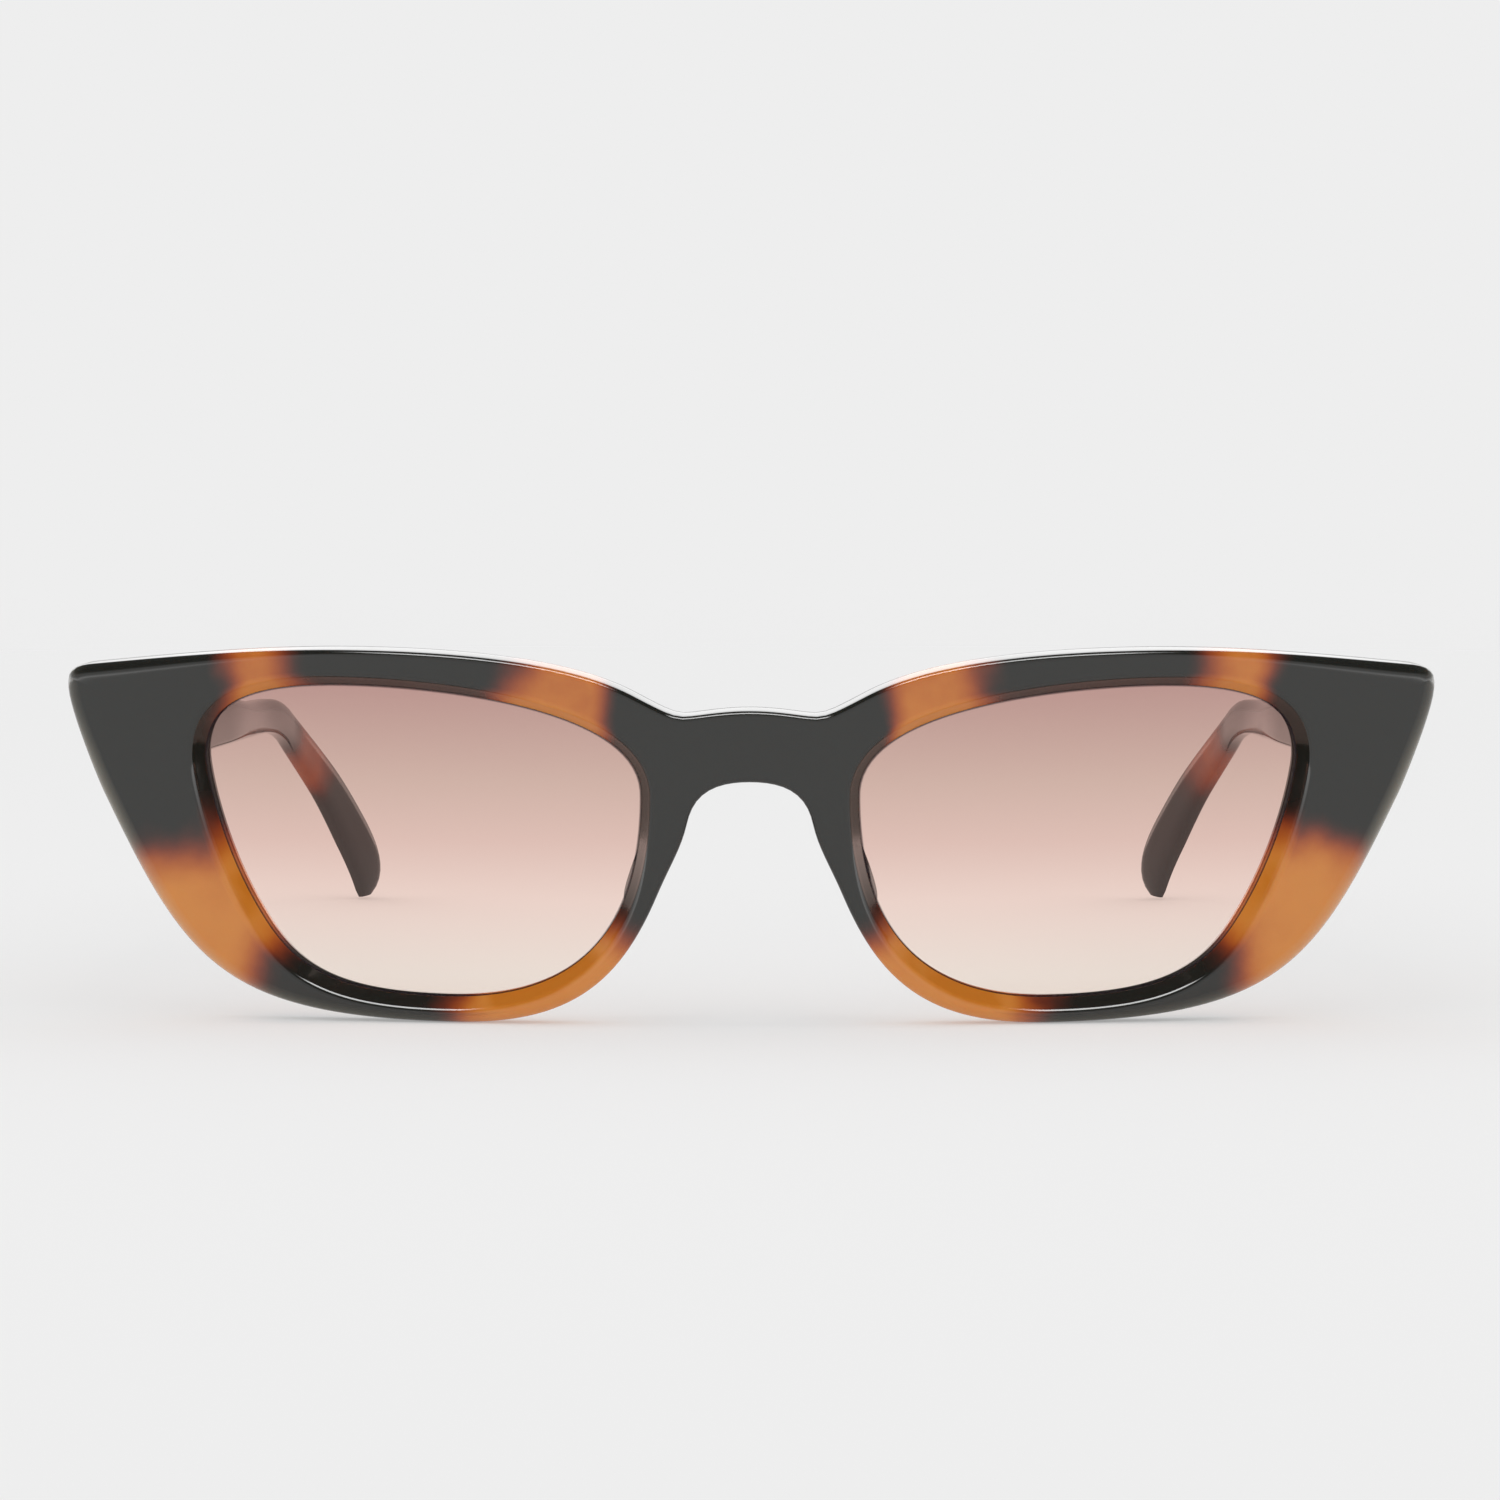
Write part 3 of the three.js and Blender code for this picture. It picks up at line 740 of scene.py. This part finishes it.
def tortoise(name, patches, dark_colour, lengthways=False):
    """Polished cellulose acetate: soft dark patches in an amber sheet that glows a little, and painted
    light on its outer edges.
    """
    material, tree = new_material(name)
    out = node(tree, "ShaderNodeOutputMaterial")
    shader = node(tree, "ShaderNodeBsdfPrincipled")
    link(tree, shader.outputs[0], out.inputs["Surface"])
    coords = node(tree, "ShaderNodeTexCoord").outputs["Object"]

    place = node(tree, "ShaderNodeCombineXYZ")
    if lengthways:
        reach = node(tree, "ShaderNodeAttribute", attribute_name="reach")
        link(tree, reach.outputs["Fac"], place.inputs["X"])
        # The x here is the length along the temple, and a z of 0 lies inside every patch.
        spots = [((middle, 0), (half, 50), 0, (soft, 1)) for middle, half, soft in patches]
    else:
        split = node(tree, "ShaderNodeSeparateXYZ")
        link(tree, scaled(tree, coords, 1 / MM), split.inputs[0])
        link(tree, maths(tree, "ABSOLUTE", split.outputs["X"]), place.inputs["X"])
        link(tree, split.outputs["Z"], place.inputs["Z"])
        spots = patches
    centred = node(tree, "ShaderNodeVectorMath", operation="SUBTRACT")
    link(tree, noise(tree, coords, 80)["Color"], centred.inputs[0])
    centred.inputs[1].default_value = (0.5, 0.5, 0.5)
    wandered = node(tree, "ShaderNodeVectorMath", operation="ADD")
    link(tree, place.outputs[0], wandered.inputs[0])
    link(tree, scaled(tree, centred.outputs[0], DRIFT), wandered.inputs[1])

    density, *more = [patch(tree, wandered.outputs[0], *spot) for spot in spots]
    for inside in more:
        density = maths(tree, "ADD", density, inside, clamp=True)
    mottle = maths(tree, "SUBTRACT", noise(tree, coords, 160, 4)["Fac"], 0.5)
    density = maths(tree, "ADD", density, maths(tree, "MULTIPLY", mottle, MOTTLE))
    if not lengthways:
        density = maths(tree, "ADD", density, maths(tree, "MULTIPLY", split.outputs["Z"], DEEPENING))
    bevel = node(tree, "ShaderNodeAttribute", attribute_name="bevel").outputs["Fac"]
    on_bevel = maths(tree, "MAXIMUM", bevel, 0)
    # Painted light: where the outer edge is marked as glowing, its colour is mixed towards the pale edge
    # light.
    painted_glow = maths(tree, "MAXIMUM", maths(tree, "MULTIPLY", bevel, -GLOW_SHARE), 0)
    density = maths(tree, "SUBTRACT", density, maths(tree, "MULTIPLY", on_bevel, THIN_BEVEL))
    density = maths(tree, "ADD", density, AMBER, clamp=True)

    stops = [*SHEET_COLOURS, (0.88, dark_colour), (1.0, dark_colour)]
    lit_edge = node(tree, "ShaderNodeMix", data_type="RGBA")
    link(tree, painted_glow, lit_edge.inputs["Factor"])
    link(tree, colours_along(tree, density, stops, "B_SPLINE"), lit_edge.inputs["A"])
    lit_edge.inputs["B"].default_value = (*PAINTED_EDGE_LIGHT, 1)
    link(tree, lit_edge.outputs["Result"], shader.inputs["Base Color"])

    shader.inputs["IOR"].default_value = 1.6
    shader.inputs["Subsurface Weight"].default_value = 0.2
    shader.inputs["Subsurface Radius"].default_value = (1.0, 0.4, 0.2)
    shader.inputs["Subsurface Scale"].default_value = 0.0015

    handled = noise(tree, coords, 420, 5)["Fac"]
    link(tree, remap(tree, handled, 0.35, 0.75, 0.055, 0.13), shader.inputs["Roughness"])
    bump = node(tree, "ShaderNodeBump")
    bump.inputs["Strength"].default_value = 0.04
    bump.inputs["Distance"].default_value = 0.0002
    link(tree, noise(tree, coords, 120)["Fac"], bump.inputs["Height"])
    link(tree, bump.outputs["Normal"], shader.inputs["Normal"])
    return material


# What one face of a lens lets through, from its bottom at 0 to its top at 1.
LENS_TINTS = [
    (0.09, (0.998, 0.940, 0.895)),
    (0.32, (0.990, 0.875, 0.830)),
    (0.50, (0.923, 0.779, 0.733)),
    (0.68, (0.858, 0.720, 0.670)),
    (0.86, (0.796, 0.642, 0.602)),
    (1.0, (0.750, 0.580, 0.550)),
]


def tinted_lens(low, high):
    """A clear lens that is darkest at the top. Each of its two faces passes half of the tint, the face
    that is towards the camera mirrors the room for it, and the edge in the groove is painted dark as
    the shade there."""
    material, tree = new_material("lens_tint")
    out = node(tree, "ShaderNodeOutputMaterial")
    coords = node(tree, "ShaderNodeTexCoord").outputs["Object"]
    split = node(tree, "ShaderNodeSeparateXYZ")
    link(tree, coords, split.inputs[0])
    height = remap(tree, split.outputs["Z"], low, high)

    through = node(tree, "ShaderNodeBsdfTransparent")
    link(tree, colours_along(tree, height, LENS_TINTS), through.inputs["Color"])
    mirror = node(tree, "ShaderNodeBsdfGlossy")
    smudge = noise(tree, coords, 90, 3)["Fac"]
    link(tree, remap(tree, smudge, 0, 1, 0, 0.05), mirror.inputs["Roughness"])
    fresnel = node(tree, "ShaderNodeFresnel")
    fresnel.inputs["IOR"].default_value = 1.3
    seen = node(tree, "ShaderNodeLightPath").outputs["Is Camera Ray"]
    backfacing = node(tree, "ShaderNodeNewGeometry").outputs["Backfacing"]
    facing = maths(tree, "SUBTRACT", seen, backfacing, clamp=True)
    mirrors = maths(tree, "MULTIPLY", fresnel.outputs[0], facing)
    clear = mixed(tree, mirrors, through.outputs[0], mirror.outputs[0])

    # Painted shade: the lens edge and a thin band of its face next to the groove are coloured near black,
    # standing in for the shade in the groove.
    groove_shade_edge = node(tree, "ShaderNodeBsdfPrincipled")
    groove_shade_edge.inputs["Base Color"].default_value = (0.016, 0.007, 0.014, 1)
    groove_shade_edge.inputs["Roughness"].default_value = 0.5
    groove_shade_edge.inputs["Specular IOR Level"].default_value = 0.1
    edge = node(tree, "ShaderNodeAttribute", attribute_name="edge")
    both = mixed(tree, edge.outputs["Fac"], clear, groove_shade_edge.outputs[0])
    link(tree, both, out.inputs["Surface"])
    return material


def hinge_metal():
    """Satin nickel silver with fine level turning lines, some darker and some paler."""
    material, tree = new_material("hinge_metal")
    out = node(tree, "ShaderNodeOutputMaterial")
    shader = node(tree, "ShaderNodeBsdfPrincipled")
    link(tree, shader.outputs[0], out.inputs["Surface"])
    shader.inputs["Metallic"].default_value = 1.0
    stretch = node(tree, "ShaderNodeMapping")
    stretch.inputs["Scale"].default_value = (1, 1, 14)
    link(tree, node(tree, "ShaderNodeTexCoord").outputs["Object"], stretch.inputs["Vector"])
    lines = noise(tree, stretch.outputs[0], 500, 4)["Fac"]
    tones = [(0.3, (0.42, 0.41, 0.39)), (0.7, (0.66, 0.65, 0.62))]
    link(tree, colours_along(tree, lines, tones), shader.inputs["Base Color"])
    link(tree, remap(tree, lines, 0, 1, 0.18, 0.42), shader.inputs["Roughness"])
    return material


# ------------------------------------------------------------------ stage, lights and camera
PALE = 0.855               # what the camera sees all round
PAPER = 0.62               # how much light the floor gives back
PAPER_GLOW = 0.30          # and what it adds of its own, so that it comes out as pale as the rest
FLOOR_RADIUS = 1.6
FLOOR_FADE = (0.25, 0.9)   # how far from the middle it fades out

# Light from the surroundings: for matt surfaces, and as gloss mirrors it.
SOFT_LIGHT = 1.08
ROOM_LIGHT = 0.9
CEILING_LIGHT = 0.08
SIDE_LIGHT = 2.0
STRIP_LIGHT = 13.0         # a strip over the front
SCREEN_LIGHT = 1.5         # a screen behind the glasses
SOFTBOX_EDGE = (0.05, 0.05)

CAMERA_AWAY, CAMERA_HEIGHT, CAMERA_ASIDE = 0.738, 0.0797, 0.0066
CAMERA_PITCH = 3.965       # degrees downwards
CAMERA_LENS = 172.33


def make_floor():
    """A pale floor disc that fades out into the pale surroundings."""
    rings, around = 24, 96
    verts = [(0, 0, 0)]
    for r in range(1, rings + 1):
        radius = FLOOR_RADIUS * (r / rings) ** 2
        for k in range(around):
            angle = 2 * math.pi * k / around
            verts.append((radius * math.cos(angle), radius * math.sin(angle), 0))
    faces = [[0, 1 + k, 1 + (k + 1) % around] for k in range(around)]
    for r in range(rings - 1):
        a, b = 1 + r * around, 1 + (r + 1) * around
        faces += [[a + k, b + k, b + (k + 1) % around, a + (k + 1) % around] for k in range(around)]
    floor = mesh_object("floor", verts, faces)
    material, tree = new_material("pale_floor")
    out = node(tree, "ShaderNodeOutputMaterial")
    away = node(tree, "ShaderNodeVectorMath", operation="LENGTH")
    link(tree, node(tree, "ShaderNodeTexCoord").outputs["Object"], away.inputs[0])
    paper = node(tree, "ShaderNodeBsdfPrincipled")
    paper.inputs["Base Color"].default_value = (PAPER, PAPER, PAPER, 1)
    paper.inputs["Roughness"].default_value = 0.7
    paper.inputs["Specular IOR Level"].default_value = 0.0
    paper.inputs["Emission Color"].default_value = (1, 1, 1, 1)
    paper.inputs["Emission Strength"].default_value = PAPER_GLOW
    clear = node(tree, "ShaderNodeBsdfTransparent")
    fade = remap(tree, away.outputs["Value"], *FLOOR_FADE, smooth=True)
    link(tree, mixed(tree, fade, paper.outputs[0], clear.outputs[0]), out.inputs["Surface"])
    floor.data.materials.append(material)


def softbox(tree, across, up, centre, size, open_side):
    """1 where a direction falls in a soft-edged box, on the side of the room that is open."""
    place = node(tree, "ShaderNodeCombineXYZ")
    link(tree, across, place.inputs["X"])
    link(tree, up, place.inputs["Z"])
    box = patch(tree, place.outputs[0], centre, size, 0, SOFTBOX_EDGE)
    return maths(tree, "MULTIPLY", box, maths(tree, "GREATER_THAN", open_side, 0))


def make_surroundings():
    """An even pale room for the camera and for soft light. Gloss mirrors a darker ceiling, brighter
    sides, a strip light over the front and a screen behind."""
    world = bpy.data.worlds.new("studio")
    world.use_nodes = True
    bpy.context.scene.world = world
    tree = world.node_tree
    tree.nodes.clear()
    out = node(tree, "ShaderNodeOutputWorld")
    seen = node(tree, "ShaderNodeBackground")
    seen.inputs["Color"].default_value = (PALE, PALE, PALE, 1)
    lit = node(tree, "ShaderNodeBackground")
    lit.inputs["Strength"].default_value = SOFT_LIGHT
    mirrored = node(tree, "ShaderNodeBackground")
    split = node(tree, "ShaderNodeSeparateXYZ")
    link(tree, node(tree, "ShaderNodeTexCoord").outputs["Generated"], split.inputs[0])
    # These are the parts of a direction, so each goes from -1 to 1.
    x, y, z = split.outputs
    low = remap(tree, z, -0.05, 0.25, 1, 0, smooth=True)
    sides = remap(tree, maths(tree, "ABSOLUTE", x), 0.35, 0.75, 0, SIDE_LIGHT, smooth=True)
    strip = softbox(tree, x, y, centre=(0, -0.38), size=(0.27, 0.19), open_side=z)
    screen = softbox(tree, x, z, centre=(0, 0.27), size=(0.5, 0.14), open_side=y)
    total = remap(tree, z, 0.30, 0.60, ROOM_LIGHT, CEILING_LIGHT, smooth=True)
    for light, share in ((sides, low), (strip, STRIP_LIGHT), (screen, SCREEN_LIGHT)):
        total = maths(tree, "ADD", total, maths(tree, "MULTIPLY", light, share))
    link(tree, total, mirrored.inputs["Strength"])
    path = node(tree, "ShaderNodeLightPath")
    soft = mixed(tree, path.outputs["Is Glossy Ray"], lit.outputs[0], mirrored.outputs[0])
    link(tree, mixed(tree, path.outputs["Is Camera Ray"], soft, seen.outputs[0]), out.inputs["Surface"])


def area_light(name, place, target, size, power):
    data = bpy.data.lights.new(name, "AREA")
    data.shape = "RECTANGLE"
    data.size, data.size_y = size
    data.energy = power
    light = bpy.data.objects.new(name, data)
    light.location = place
    light.rotation_euler = (Vector(target) - Vector(place)).to_track_quat("-Z", "Y").to_euler()
    bpy.context.scene.collection.objects.link(light)


def make_camera():
    """Far off, a little above the front and slightly to the wearer's left, looking down at it."""
    bridge = from_front(0, 0, 0)
    data = bpy.data.cameras.new("camera")
    data.sensor_width = 36
    data.lens = CAMERA_LENS
    camera = bpy.data.objects.new("camera", data)
    camera.location = (CAMERA_ASIDE, bridge.y - CAMERA_AWAY, CAMERA_HEIGHT)
    level = math.pi / 2 - math.radians(CAMERA_PITCH)
    camera.rotation_euler = (level, 0, math.atan2(CAMERA_ASIDE, CAMERA_AWAY))
    bpy.context.scene.collection.objects.link(camera)
    bpy.context.scene.camera = camera


# ------------------------------------------------------------------ assembly
def finish_piece(obj, material, slot, body, *nodes):
    obj.data.materials.clear()
    obj.data.materials.append(material)
    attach(obj, body)
    if nodes:
        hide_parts(*nodes)


make_camera()
make_surroundings()
make_floor()
area_light("overhead", place=(0, -0.1, 0.65), target=(0, -0.05, 0), size=(0.42, 0.06), power=0.2)

front_sheet = tortoise("tortoise_front", FRONT_PATCHES, FRONT_DARK)
temple_sheet = tortoise("tortoise_temple", TEMPLE_PATCHES, TEMPLE_DARK_AND_SHEEN, lengthways=True)
metal = hinge_metal()
lens_low, lens_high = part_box("lens_left")
lens_tint = tinted_lens(lens_low.z, lens_high.z)

finish_piece(make_front(), front_sheet, "tortoise", "front", "frame_front")
for side, word in ((1, "left"), (-1, "right")):
    finish_piece(make_lens(side, f"tinted_lens_{word}"), lens_tint, "tinted_lens", "front", f"lens_{word}")
    finish_piece(make_pad(side, f"pad_{word}"), front_sheet, "tortoise", "front", f"nose_pad_{word}")
    finish_piece(make_temple(side, f"temple_arm_{word}"), temple_sheet, "tortoise", f"temple_{word}",
                 f"temple_{word}")
    for part in ("front_hinge", "hinge_screw", "temple_hinge", "core_wire"):
        shown = frame["nodes"][f"{part}_{word}"]
        shown.data.materials.clear()
        shown.data.materials.append(metal)

bpy.context.scene.view_settings.view_transform = "Standard"
